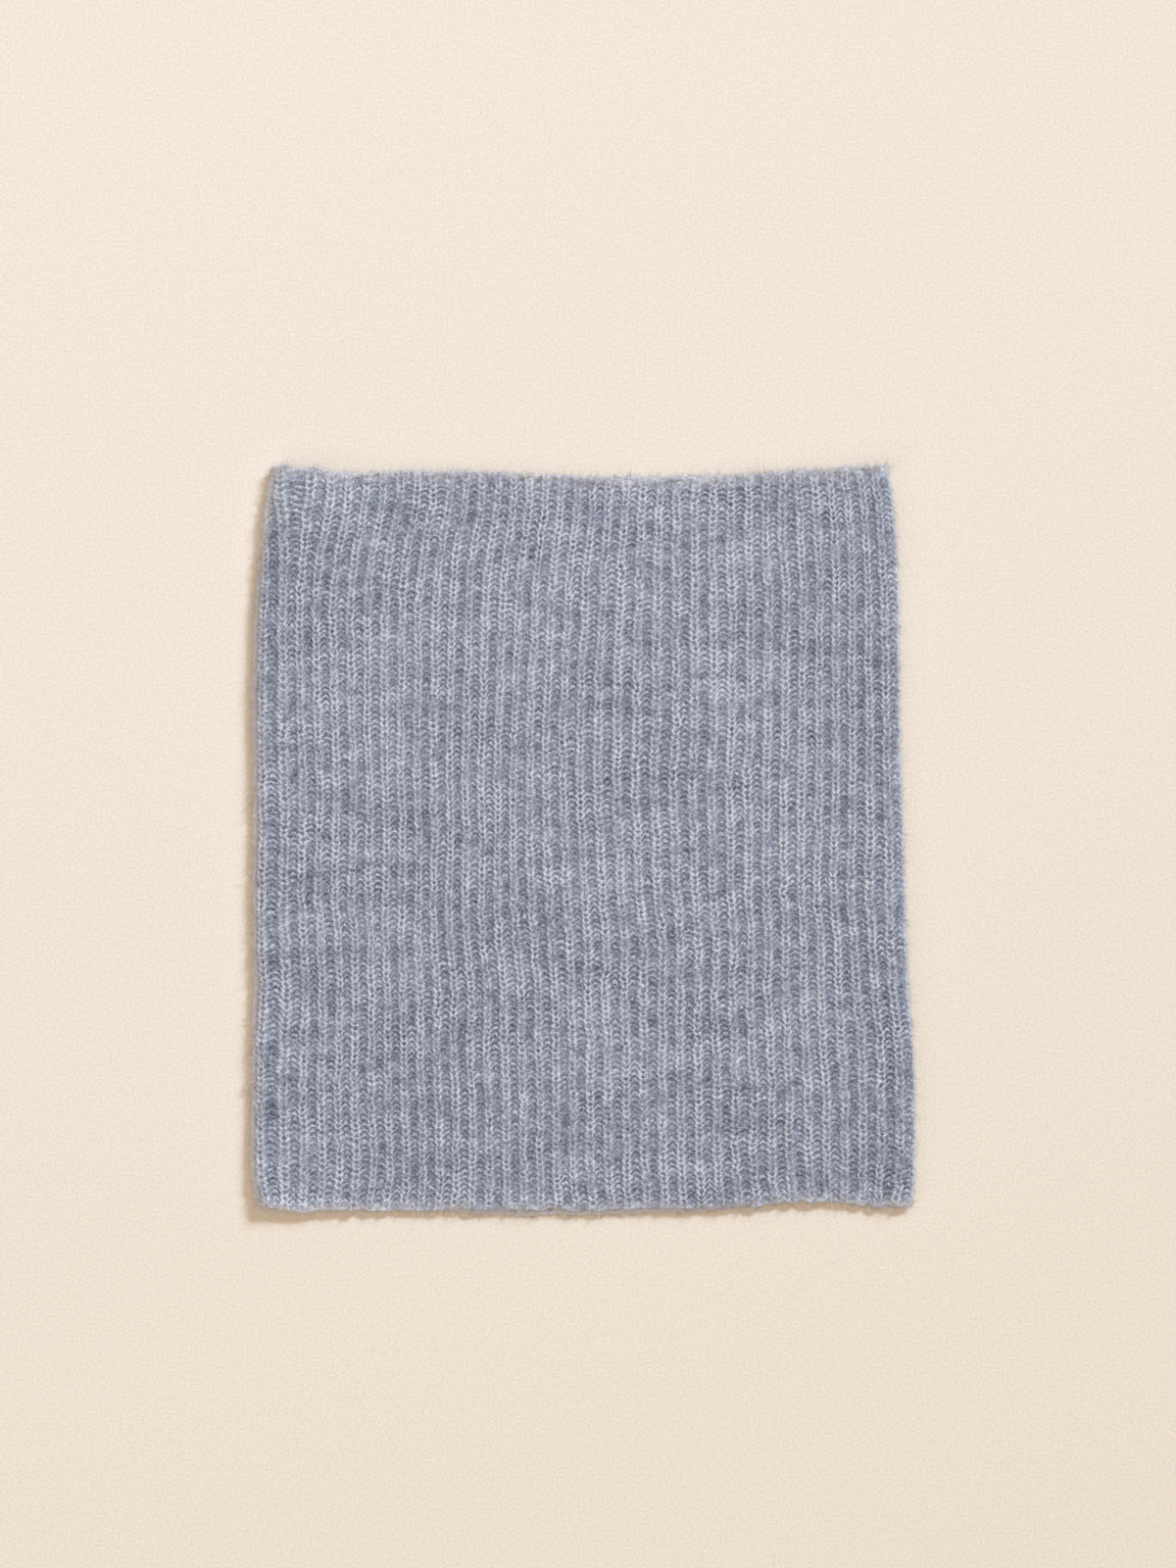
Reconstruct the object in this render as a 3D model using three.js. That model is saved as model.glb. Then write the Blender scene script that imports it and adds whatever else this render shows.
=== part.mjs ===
// A snood: one tube of ribbed knitting, open at both ends, lying flat on a surface.
// Millimetres. X runs across the flat tube, Y along its height, Z up from the surface it lies on.

import * as THREE from "three";

// Driving dimensions
const ribsPerLayer = 37; // ribs across the upper layer, and as many across the lower one
const ribCount = 2 * ribsPerLayer + 2; // one more rib turns round each fold
const wallAtCrest = 2.0; // thickness of the knitting from a rib's crest to the inner face
const ribRelief = 0.7; // depth of the valleys between the ribs
const hollowHeight = 4.3; // clear height between the two layers
const foldRadius = (hollowHeight + wallAtCrest) / 2; // of the middle of the wall at both folds
const foldRibs = 0.7; // how many ribs a quarter turn of a fold takes up
const edgeTuck = 0.35; // how far the knitting thins at its two open edges

// One rib, from the middle of a valley to the middle of the next: the share of its width and of its relief
const ribProfile = [
  { along: 0.18, raised: 0 },
  { along: 0.32, raised: 1 },
  { along: 0.68, raised: 1 },
  { along: 0.82, raised: 0 },
];

// Where the ribs run: a row for each section across the tube, from the lower edge to the upper one.
// left and right are the folds' outer edges, and rib2 to rib29 are valleys of the upper layer.
const sections = [
  { y: -150.6, left: -133.2, rib2: -117.8, rib9: -69.4, rib19: 1.0, rib29: 74.6, right: 134.8 },
  { y: -137.0, left: -135.4, rib2: -117.4, rib9: -68.6, rib19: 0.2, rib29: 73.8, right: 135.8 },
  { y: -97.0, left: -135.4, rib2: -118.0, rib9: -69.4, rib19: -0.6, rib29: 73.0, right: 135.4 },
  { y: -57.0, left: -134.8, rib2: -117.4, rib9: -70.2, rib19: -1.0, rib29: 72.2, right: 133.0 },
  { y: 3.0, left: -134.8, rib2: -117.6, rib9: -70.2, rib19: -3.8, rib29: 71.4, right: 131.0 },
  { y: 63.0, left: -135.0, rib2: -118.6, rib9: -71.0, rib19: -4.6, rib29: 71.8, right: 129.4 },
  { y: 103.0, left: -133.6, rib2: -118.2, rib9: -69.8, rib19: -3.0, rib29: 72.2, right: 129.0 },
  { y: 119.0, left: -131.6, rib2: -117.0, rib9: -68.2, rib19: -1.8, rib29: 71.4, right: 128.2 },
  { y: 139.8, left: -129.6, rib2: -113.4, rib9: -64.6, rib19: 0.6, rib29: 71.4, right: 126.6 },
  { y: 151.8, left: -127.6, rib2: -111.8, rib9: -64.2, rib19: 1.0, rib29: 71.0, right: 124.6 },
];

// The two open edges: how high each lies at a rib, on the upper layer and on the lower one
const edges = [
  { rib: 0, bottom: -149.4, top: 151.4, lowerBottom: -149.4, lowerTop: 151.4 },
  { rib: 2, bottom: -150.6, top: 149.6, lowerBottom: -149.8, lowerTop: 149.6 },
  { rib: 9, bottom: -150.2, top: 150.2, lowerBottom: -151.4, lowerTop: 149.4 },
  { rib: 12, bottom: -150.4, top: 150.5, lowerBottom: -152.0, lowerTop: 149.2 },
  { rib: 19, bottom: -151.0, top: 148.0, lowerBottom: -153.2, lowerTop: 147.8 },
  { rib: 22, bottom: -149.6, top: 147.6, lowerBottom: -152.2, lowerTop: 148.6 },
  { rib: 26, bottom: -150.2, top: 148.0, lowerBottom: -151.0, lowerTop: 149.0 },
  { rib: 29, bottom: -148.6, top: 149.4, lowerBottom: -149.0, lowerTop: 149.4 },
  { rib: 32, bottom: -147.0, top: 150.3, lowerBottom: -146.8, lowerTop: 150.2 },
  { rib: 35, bottom: -149.2, top: 151.3, lowerBottom: -149.6, lowerTop: 151.2 },
  { rib: 37, bottom: -149.4, top: 152.6, lowerBottom: -149.4, lowerTop: 152.6 },
];

// The side seam gathers the open edges into bumps, each a bell curve round its rib
const seamBumps = [
  { edge: "top", rib: 0.45, halfWidth: 0.8, rise: 2.0 },
  { edge: "top", rib: 2.4, halfWidth: 0.75, rise: 2.5 },
  { edge: "bottom", rib: 2.3, halfWidth: 0.6, rise: 1.2 },
];

// The lower left corner lifts off the surface a little, both layers together
const cornerLift = { x: -138, y: -153, reachX: 25, reachY: 36, height: 1.8 };

const woolColor = 0xa3a8b4;

// A smooth curve through (at, value) rows: a cubic on each stretch, with the slope at a row taken from its neighbours
function curveThrough(rows, position) {
  const last = rows.length - 1;
  let k = 0;
  while (k < last - 1 && position > rows[k + 1].at) k += 1;
  const slope = (i) => {
    const before = rows[Math.max(i - 1, 0)];
    const after = rows[Math.min(i + 1, last)];
    return (after.value - before.value) / (after.at - before.at);
  };
  const from = rows[k];
  const to = rows[k + 1];
  const span = to.at - from.at;
  const t = THREE.MathUtils.clamp((position - from.at) / span, 0, 1);
  const t2 = t * t;
  const t3 = t2 * t;
  return (
    (2 * t3 - 3 * t2 + 1) * from.value +
    (t3 - 2 * t2 + t) * span * slope(k) +
    (3 * t2 - 2 * t3) * to.value +
    (t3 - t2) * span * slope(k + 1)
  );
}

// Height of an open edge at a rib, from the named column of the edges
const edgeHeight = (column, rib) =>
  curveThrough(edges.map((row) => ({ at: row.rib, value: row[column] })), rib);

// A point's ring position s counts ribs: 0 to 37 across the upper layer from left to right, then round the
// right fold, back across the lower layer, and round the left fold to 76.
const rightFold = ribsPerLayer + 0.5;
const leftFold = ribCount - 0.55;

// Signed way round the ring from a to b, in ribs
const ringWay = (a, b) => THREE.MathUtils.euclideanModulo(b - a + ribCount / 2, ribCount) - ribCount / 2;

// Middle of the wall at ring position s in one section: { x, z, outX, outZ }, z from the middle of the hollow
function wallMiddle(section, s) {
  const leftCentre = section.left + wallAtCrest / 2 + foldRadius;
  const rightCentre = section.right - wallAtCrest / 2 - foldRadius;
  for (const fold of [
    { at: rightFold, centre: rightCentre, side: 1 },
    { at: leftFold, centre: leftCentre, side: -1 },
  ]) {
    const way = ringWay(fold.at, s);
    if (Math.abs(way) < foldRibs) {
      const turn = (way / foldRibs) * (Math.PI / 2);
      const outX = fold.side * Math.cos(turn);
      const outZ = -fold.side * Math.sin(turn);
      return { x: fold.centre + foldRadius * outX, z: foldRadius * outZ, outX, outZ };
    }
  }
  const first = foldRibs - 0.5;
  const last = ribsPerLayer + 0.5 - foldRibs;
  if (s < rightFold) {
    const x = curveThrough(
      [
        { at: first, value: leftCentre },
        { at: 2, value: section.rib2 },
        { at: 9, value: section.rib9 },
        { at: 19, value: section.rib19 },
        { at: 29, value: section.rib29 },
        { at: last, value: rightCentre },
      ],
      s,
    );
    return { x, z: foldRadius, outX: 0, outZ: 1 };
  }
  const back = ribCount - 1 - s; // ribs of the lower layer are evenly spaced
  const x = THREE.MathUtils.mapLinear(back, first, last, leftCentre, rightCentre);
  return { x, z: -foldRadius, outX: 0, outZ: -1 };
}

// Share of the lower layer at s: 0 above, 1 below, turning smoothly round the folds
function lowerShare(s) {
  const right = ringWay(rightFold, s);
  const left = ringWay(leftFold, s);
  const way = Math.abs(right) < Math.abs(left) ? right : -left;
  return THREE.MathUtils.smoothstep(way, -foldRibs, foldRibs);
}

// Where a section's point at s lies along the tube: the edges' shape fades in from the middle of the height
function heightAt(section, s) {
  const rib = THREE.MathUtils.clamp(s < rightFold ? s : ribCount - 1 - s, 0, ribsPerLayer);
  const lower = lowerShare(s);
  const bumpsOf = (edge) =>
    seamBumps
      .filter((bump) => bump.edge === edge)
      .reduce((total, bump) => total + bump.rise * Math.exp(-((ringWay(bump.rib, s) / bump.halfWidth) ** 2)), 0);
  const bottom =
    THREE.MathUtils.lerp(edgeHeight("bottom", rib), edgeHeight("lowerBottom", rib), lower) - bumpsOf("bottom");
  const top = THREE.MathUtils.lerp(edgeHeight("top", rib), edgeHeight("lowerTop", rib), lower) + bumpsOf("top");
  const share = THREE.MathUtils.inverseLerp(sections[0].y, sections.at(-1).y, section.y);
  return THREE.MathUtils.lerp(bottom, top, share);
}

// How far the knitting is lifted at x, y: a smooth hump that ends at its reach
function liftAt(x, y) {
  const away = ((x - cornerLift.x) / cornerLift.reachX) ** 2 + ((y - cornerLift.y) / cornerLift.reachY) ** 2;
  return away < 1 ? cornerLift.height * (1 - away) ** 2 : 0;
}

// A point of the wall at ring position s, pushed out from the wall's middle by offset
function wallPoint(section, s, offset) {
  const middle = wallMiddle(section, s);
  const x = middle.x + offset * middle.outX;
  const y = heightAt(section, s);
  const z = middle.z + offset * middle.outZ + foldRadius + wallAtCrest / 2;
  return new THREE.Vector3(x, y, z + liftAt(x, y));
}

// Ring positions of the outer face, four to a rib, and of the inner face, one to a rib and more at the folds
function outerStations() {
  const stations = [];
  for (let rib = 0; rib < ribCount; rib += 1) {
    for (const corner of ribProfile) {
      stations.push({ s: rib + corner.along, offset: wallAtCrest / 2 - ribRelief * (1 - corner.raised) });
    }
  }
  return stations;
}

function innerStations() {
  const stations = [];
  for (let rib = 0; rib < ribCount; rib += 1) {
    stations.push({ s: rib, offset: -wallAtCrest / 2 });
    const nearFold = [rightFold, leftFold].some((fold) => Math.abs(ringWay(fold, rib + 0.5)) <= 1);
    if (nearFold) stations.push({ s: rib + 0.5, offset: -wallAtCrest / 2 });
  }
  return stations;
}

// The closed wall: an outer and an inner skin through all the sections, joined by a rim at each open edge
function ribbedTubeGeometry() {
  const positions = [];
  const indices = [];
  const skinOf = (stations) =>
    sections.map((section, row) => {
      const atEdge = row === 0 || row === sections.length - 1;
      return stations.map(({ s, offset }) => {
        const thinner = atEdge ? edgeTuck * Math.sign(offset) : 0;
        const point = wallPoint(section, s, offset - (lowerShare(s) > 0.5 && offset > 0 ? 0 : thinner));
        positions.push(point.x, point.y, point.z);
        return positions.length / 3 - 1;
      });
    });
  const outer = outerStations();
  const inner = innerStations();
  const outerSkin = skinOf(outer);
  const innerSkin = skinOf(inner);

  const closeSkin = (skin, flipped) => {
    for (let row = 0; row + 1 < skin.length; row += 1) {
      const count = skin[row].length;
      for (let k = 0; k < count; k += 1) {
        const [a, b] = [skin[row][k], skin[row][(k + 1) % count]];
        const [d, c] = [skin[row + 1][k], skin[row + 1][(k + 1) % count]];
        if (flipped) indices.push(a, b, c, a, c, d);
        else indices.push(a, c, b, a, d, c);
      }
    }
  };
  closeSkin(outerSkin, true);
  closeSkin(innerSkin, false);

  // A rim steps along whichever of the two rings is behind, so that it follows both
  const closeRim = (outerRing, innerRing, flipped) => {
    let o = 0;
    let i = 0;
    const placeOf = (stations, k) => stations[k % stations.length].s + ribCount * Math.floor(k / stations.length);
    while (o < outerRing.length || i < innerRing.length) {
      const outerNext = placeOf(outer, o + 1);
      const innerNext = placeOf(inner, i + 1);
      const stepOuter = i >= innerRing.length || (o < outerRing.length && outerNext <= innerNext);
      const a = outerRing[o % outerRing.length];
      const b = innerRing[i % innerRing.length];
      const c = stepOuter ? outerRing[(o + 1) % outerRing.length] : innerRing[(i + 1) % innerRing.length];
      if (flipped) indices.push(a, c, b);
      else indices.push(a, b, c);
      if (stepOuter) o += 1;
      else i += 1;
    }
  };
  closeRim(outerSkin[0], innerSkin[0], false);
  closeRim(outerSkin.at(-1), innerSkin.at(-1), true);

  const geometry = new THREE.BufferGeometry();
  geometry.setAttribute("position", new THREE.Float32BufferAttribute(positions, 3));
  geometry.setIndex(indices);
  geometry.computeVertexNormals();
  return geometry;
}

// The tube, centred on the origin with its lowest ribs on the surface
function makeRibbedTube() {
  const geometry = ribbedTubeGeometry();
  geometry.computeBoundingBox();
  const centre = geometry.boundingBox.getCenter(new THREE.Vector3());
  const wool = new THREE.MeshStandardMaterial({ color: woolColor, roughness: 0.95, metalness: 0 });
  const tube = new THREE.Mesh(geometry, wool);
  tube.name = "ribbed_tube";
  tube.position.set(-centre.x, -centre.y, 0);
  return tube;
}

const group = new THREE.Group();
group.add(makeRibbedTube());

export default group;
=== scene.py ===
import math

import bpy
import numpy as np
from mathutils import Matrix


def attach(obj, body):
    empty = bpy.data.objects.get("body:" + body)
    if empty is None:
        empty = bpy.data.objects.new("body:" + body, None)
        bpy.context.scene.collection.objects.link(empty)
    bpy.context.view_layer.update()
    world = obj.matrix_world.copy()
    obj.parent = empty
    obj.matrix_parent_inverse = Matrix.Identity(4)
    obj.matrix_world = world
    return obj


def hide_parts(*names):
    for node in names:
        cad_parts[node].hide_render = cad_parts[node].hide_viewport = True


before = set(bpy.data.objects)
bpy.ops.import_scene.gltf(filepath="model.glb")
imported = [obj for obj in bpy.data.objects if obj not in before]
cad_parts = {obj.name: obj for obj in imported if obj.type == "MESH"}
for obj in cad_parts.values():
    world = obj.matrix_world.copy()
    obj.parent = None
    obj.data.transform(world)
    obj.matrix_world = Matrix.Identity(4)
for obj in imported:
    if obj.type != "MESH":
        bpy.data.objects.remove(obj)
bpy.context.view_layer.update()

mm = 0.001  # the tables below are in millimetres, the meshes in metres

# The flat tube: sizes of the knitted wall and of its folds
tube = {
    "ribsPerLayer": 37,
    "ribPitch": 7.1,  # across a rib, from valley to valley
    "courses": 124,  # rows of stitches up the tube
    "wallAtCrest": 2.0,
    "ribRelief": 0.45,
    "hollowHeight": 4.3,
    "foldRibs": 0.7,  # ribs on a quarter turn of a fold
    "rightFoldAfter": 0.5,  # the folds' outermost lines, in ribs after the upper layer and before its start
    "leftFoldBefore": 0.55,
    "offFloor": 0.04,  # how far the lowest points stay above the floor
}
seeds = {"wall": 12, "heather": 13, "stitches": 14, "brushing": 15, "fibres": 16}
ribCount = 2 * tube["ribsPerLayer"] + 2
halfWall = tube["wallAtCrest"] / 2
foldRadius = tube["hollowHeight"] / 2 + halfWall
rightFold = tube["ribsPerLayer"] + tube["rightFoldAfter"]
leftFold = ribCount - tube["leftFoldBefore"]

# Where the ribs run, a row for each section from the lower edge up: the folds' outer edges and four valleys
guideRibs = (2, 9, 19, 29)
sections = [
    {"y": -150.6, "left": -133.2, "rib2": -117.8, "rib9": -69.4, "rib19": 1.0, "rib29": 74.6, "right": 134.8},
    {"y": -137.0, "left": -135.4, "rib2": -117.4, "rib9": -68.6, "rib19": 0.2, "rib29": 73.8, "right": 135.8},
    {"y": -97.0, "left": -135.4, "rib2": -118.0, "rib9": -69.4, "rib19": -0.6, "rib29": 73.0, "right": 135.4},
    {"y": -57.0, "left": -134.8, "rib2": -117.4, "rib9": -70.2, "rib19": -1.0, "rib29": 72.2, "right": 133.0},
    {"y": 3.0, "left": -134.8, "rib2": -117.6, "rib9": -70.2, "rib19": -3.8, "rib29": 71.4, "right": 131.0},
    {"y": 63.0, "left": -135.0, "rib2": -118.6, "rib9": -71.0, "rib19": -4.6, "rib29": 71.8, "right": 129.4},
    {"y": 103.0, "left": -133.6, "rib2": -118.2, "rib9": -69.8, "rib19": -3.0, "rib29": 72.2, "right": 129.0},
    {"y": 119.0, "left": -131.6, "rib2": -117.0, "rib9": -68.2, "rib19": -1.8, "rib29": 71.4, "right": 128.2},
    {"y": 139.8, "left": -129.6, "rib2": -113.4, "rib9": -64.6, "rib19": 0.6, "rib29": 71.4, "right": 126.6},
    {"y": 151.8, "left": -127.6, "rib2": -111.8, "rib9": -64.2, "rib19": 1.0, "rib29": 71.0, "right": 124.6},
]

# How high the open edges lie at a rib, on the upper layer and on the lower one
edges = [
    {"rib": 0, "bottom": -149.4, "top": 151.4, "lowerBottom": -149.4, "lowerTop": 151.4},
    {"rib": 2, "bottom": -150.6, "top": 149.6, "lowerBottom": -149.8, "lowerTop": 149.6},
    {"rib": 9, "bottom": -150.2, "top": 150.2, "lowerBottom": -151.4, "lowerTop": 149.4},
    {"rib": 12, "bottom": -150.4, "top": 150.5, "lowerBottom": -152.0, "lowerTop": 149.2},
    {"rib": 19, "bottom": -151.0, "top": 148.0, "lowerBottom": -153.2, "lowerTop": 147.8},
    {"rib": 22, "bottom": -149.6, "top": 147.6, "lowerBottom": -152.2, "lowerTop": 148.6},
    {"rib": 26, "bottom": -150.2, "top": 148.0, "lowerBottom": -151.0, "lowerTop": 149.0},
    {"rib": 29, "bottom": -148.6, "top": 149.4, "lowerBottom": -149.0, "lowerTop": 149.4},
    {"rib": 32, "bottom": -147.0, "top": 150.3, "lowerBottom": -146.8, "lowerTop": 150.2},
    {"rib": 35, "bottom": -149.2, "top": 151.3, "lowerBottom": -149.6, "lowerTop": 151.2},
    {"rib": 37, "bottom": -149.4, "top": 152.6, "lowerBottom": -149.4, "lowerTop": 152.6},
]

# The side seam gathers the open edges into bumps, which stand out by rise * bell in mm
seamBumps = [
    {"edge": "top", "rib": 0.45, "halfWidth": 0.8, "rise": 2.0},
    {"edge": "top", "rib": 2.4, "halfWidth": 0.75, "rise": 2.5},
    {"edge": "bottom", "rib": 2.3, "halfWidth": 0.6, "rise": 1.2},
]

# Where the knitting lifts or sags, by the lift * (1 - farness)^2 in mm: whole is the lift of both layers,
# upper that of the upper one alone
lifts = [
    {"x": 0, "y": -153, "reachX": 150, "reachY": 60, "whole": 0, "upper": -3.2},
    {"x": -84, "y": -153, "reachX": 52, "reachY": 60, "whole": 0, "upper": -1.7},
    {"x": 88, "y": -153, "reachX": 50, "reachY": 60, "whole": 0, "upper": -1.7},
    {"x": 122, "y": -153, "reachX": 36, "reachY": 40, "whole": 0, "upper": -2.4},
    {"x": 0, "y": 153, "reachX": 150, "reachY": 45, "whole": 0, "upper": -3.0},
    {"x": -135, "y": 0, "reachX": 16, "reachY": 400, "whole": 0, "upper": -0.8},
    {"x": -138, "y": -153, "reachX": 25, "reachY": 36, "whole": 1.8, "upper": 0},
]

# The left fold is creased: its last upper rib stands over a groove, with the next rib lying outside it
# below. The wall is shifted by x * bell and z * bell in mm, fully below the height fullBelow and not at all
# over noneAbove.
crease = {
    "shifts": (
        {"at": -0.28, "halfWidth": 0.13, "x": 0.4, "z": -0.6},
        {"at": -0.50, "halfWidth": 0.25, "x": 0.0, "z": -0.3},
    ),
    "fullBelow": 108.0,
    "noneAbove": 132.0,
}

# Where the ribs run beside the sections' lines, by aside * exp(-farness) in mm. Beside a fold the bends grow
# to their full size over bendFade ribs.
bendFade = 1.5
bends = [
    {"x": -29, "y": 67, "reachX": 28, "reachY": 30, "aside": 1.4},
    {"x": -22, "y": 119, "reachX": 28, "reachY": 20, "aside": 0.9},
    {"x": 34, "y": 135, "reachX": 22, "reachY": 22, "aside": -1.1},
    {"x": 114, "y": 127, "reachX": 20, "reachY": 24, "aside": 1.0},
    {"x": 34, "y": 63, "reachX": 22, "reachY": 22, "aside": 0.8},
    {"x": -104, "y": 95, "reachX": 20, "reachY": 18, "aside": -0.8},
    {"x": -43, "y": -29, "reachX": 28, "reachY": 30, "aside": -1.2},
    {"x": 112, "y": -21, "reachX": 20, "reachY": 30, "aside": -1.9},
    {"x": 34, "y": -41, "reachX": 24, "reachY": 36, "aside": 0.8},
    {"x": -91, "y": -69, "reachX": 24, "reachY": 24, "aside": 1.1},
]

# The ribs slip round the left fold by ribs * bell, growing from one course to another: a little all the way
# up, and most near the upper end of the side seam
slips = [
    {"ribs": 0.32, "at": 0.1, "halfWidth": 1.0, "from": -2, "to": -1},
    {"ribs": 1.1, "at": -0.55, "halfWidth": 2.3, "from": 102, "to": 124},
]


# What the rows of a table say under one name
def column(rows, name):
    return np.array([row[name] for row in rows], float)


# A cubic on each stretch between the points (at, value), with slopes from the neighbours. value may hold
# arrays.
def curveThrough(at, value, position):
    at, position = np.asarray(at, float), np.asarray(position, float)
    count = len(at)
    slope = []
    for i in range(count):
        before, after = max(i - 1, 0), min(i + 1, count - 1)
        slope.append((value[after] - value[before]) / (at[after] - at[before]))
    value, slope = np.stack(np.broadcast_arrays(*value)), np.stack(np.broadcast_arrays(*slope))
    k = np.clip(np.searchsorted(at, position, side="right") - 1, 0, count - 2)
    span = at[k + 1] - at[k]
    t = np.clip((position - at[k]) / span, 0, 1)
    if value.ndim == 1:
        a, b, slopeA, slopeB = value[k], value[k + 1], slope[k], slope[k + 1]
    else:  # the tables hold a whole row of values at each height
        columnsHere = np.arange(value.shape[1])[None, :]
        a, b = value[k, columnsHere], value[k + 1, columnsHere]
        slopeA, slopeB = slope[k, columnsHere], slope[k + 1, columnsHere]
    return (
        (2 * t**3 - 3 * t**2 + 1) * a
        + (t**3 - 2 * t**2 + t) * span * slopeA
        + (3 * t**2 - 2 * t**3) * b
        + (t**3 - t**2) * span * slopeB
    )


# 0 up to low, 1 from high on, and t * t * (3 - 2 * t) between them
def smooth(low, high, value):
    t = np.clip((value - low) / (high - low), 0, 1)
    return t * t * (3 - 2 * t)


# Signed way round the tube from a to b, in ribs
def ringWay(a, b):
    return (b - a + ribCount / 2) % ribCount - ribCount / 2


# exp(-((rib - at) / halfWidth)^2), measured round the tube
def bell(at, halfWidth, rib):
    return np.exp(-((ringWay(at, rib) / halfWidth) ** 2))


# (dx / reachX)^2 + (dy / reachY)^2 from the place that a table's row names
def farness(row, x, y):
    return ((x - row["x"]) / row["reachX"]) ** 2 + ((y - row["y"]) / row["reachY"]) ** 2


# The cells of each noise, in ribs and in courses, then the lattice's rows below the first course and all of
# its rows outside the courses
cells = {
    "ribDrift": (1.0, 9.0),
    "wideDrift": (4.0, 9.0),
    "edgeLumps": (0.5, 1.0),
    "edgeWaves": (2.0, 2.0),
    "stitchesAcross": (0.5, 1.5),
    "stitchesAlong": (0.5, 3.0),
    "brushing": (1.5, 4.0),
    "dashes": (2.0, 1.0),
    "specks": (0.5, 1.0),
    "patches": (4.0, 8.0),
}
rowsBelow, rowsOutside = 2, 6


# Smooth noise of about unit size over (rib, course): random values on a lattice that closes round the tube,
# low * (1 - f) + high * f between neighbours, where f is smooth(0, 1, place between them)
def latticeNoise(rng, rib, course, name):
    ribStep, courseStep = cells[name]
    wide, tall = round(ribCount / ribStep), int(tube["courses"] / courseStep) + rowsOutside
    values = rng.standard_normal((wide, tall))
    x, y = rib * wide / ribCount, course / courseStep + rowsBelow
    i, j = np.floor(x).astype(int), np.clip(np.floor(y).astype(int), 0, tall - 2)
    fx, fy = smooth(0, 1, x - i), smooth(0, 1, y - j)
    i, beside = i % wide, (i + 1) % wide
    low = values[i, j] * (1 - fx) + values[beside, j] * fx
    high = values[i, j + 1] * (1 - fx) + values[beside, j + 1] * fx
    return low * (1 - fy) + high * fy


# Middle of the wall at a line of ring positions (ribs), with rows of heights for them (share of the height,
# 0 to 1). The upper layer runs through the sections' valleys, a fold is a half circle, the lower layer is
# evenly ribbed. Gives x, y, z in mm and the outward direction (outX, outZ).
def wallMiddle(line, share):
    share = np.broadcast_to(share, (len(share), len(line)))
    rowShare = (column(sections, "y") - sections[0]["y"]) / (sections[-1]["y"] - sections[0]["y"])
    leftCentre = column(sections, "left") + halfWall + foldRadius
    rightCentre = column(sections, "right") - halfWall - foldRadius
    first, last = tube["foldRibs"] - 0.5, tube["ribsPerLayer"] + 0.5 - tube["foldRibs"]
    toRight, toLeft = ringWay(rightFold, line), ringWay(leftFold, line)
    nearRight = np.abs(toRight) < np.abs(toLeft)
    # ribs past a fold's line: under -foldRibs on the upper layer, over foldRibs on the lower one
    way = np.where(nearRight, toRight, -toLeft)
    turn = np.clip(way / tube["foldRibs"], -1, 1) * math.pi / 2
    outX, outZ = np.where(nearRight, 1, -1) * np.cos(turn), -np.sin(turn)
    inFold = np.abs(way) < tube["foldRibs"]
    mirrored = ribCount - 1 - line % ribCount  # the upper rib over a lower one
    evenly = (mirrored - first) / (last - first)
    rowsX = []
    for i, row in enumerate(sections):
        guides = [leftCentre[i], *(np.float64(row[f"rib{rib}"]) for rib in guideRibs), rightCentre[i]]
        front = curveThrough([first, *guideRibs, last], guides, line % ribCount)
        back = leftCentre[i] + (rightCentre[i] - leftCentre[i]) * evenly
        fold = np.where(nearRight, rightCentre[i], leftCentre[i]) + foldRadius * outX
        rowsX.append(np.where(inFold, fold, np.where(way < 0, front, back)))
    x = curveThrough(rowShare, rowsX, share)
    z = np.broadcast_to(foldRadius * outZ + foldRadius + halfWall, x.shape)
    lower = smooth(-tube["foldRibs"], tube["foldRibs"], way)
    rib = np.clip(np.where(way < 0, line % ribCount, mirrored), 0, tube["ribsPerLayer"])
    rib = np.where(inFold, np.where(nearRight, tube["ribsPerLayer"], 0), rib)
    level = {}
    for name in ("bottom", "top", "lowerBottom", "lowerTop"):
        level[name] = curveThrough(column(edges, "rib"), [np.float64(v) for v in column(edges, name)], rib)
    bottom = level["bottom"] * (1 - lower) + level["lowerBottom"] * lower
    top = level["top"] * (1 - lower) + level["lowerTop"] * lower
    for bump in seamBumps:
        rise = bump["rise"] * bell(bump["rib"], bump["halfWidth"], line)
        top, bottom = (top + rise, bottom) if bump["edge"] == "top" else (top, bottom - rise)
    y = bottom + (top - bottom) * share
    for lift in lifts:
        height = lift["whole"] + lift["upper"] * (1 - lower)
        z = z + height * np.clip(1 - farness(lift, x, y), 0, 1) ** 2
    creased = 1 - smooth(crease["fullBelow"], crease["noneAbove"], y)
    for shift in crease["shifts"]:
        reach = creased * bell(shift["at"], shift["halfWidth"], line)
        x, z = x + shift["x"] * reach, z + shift["z"] * reach
    aside = 0
    for bend in bends:
        aside = aside + bend["aside"] * np.exp(-farness(bend, x, y))
    x = x + aside * np.clip(np.where(way < 0, -way - tube["foldRibs"], 0) / bendFade, 0, 1)
    return x, y, z, np.broadcast_to(outX, x.shape), np.broadcast_to(outZ, x.shape)


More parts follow.
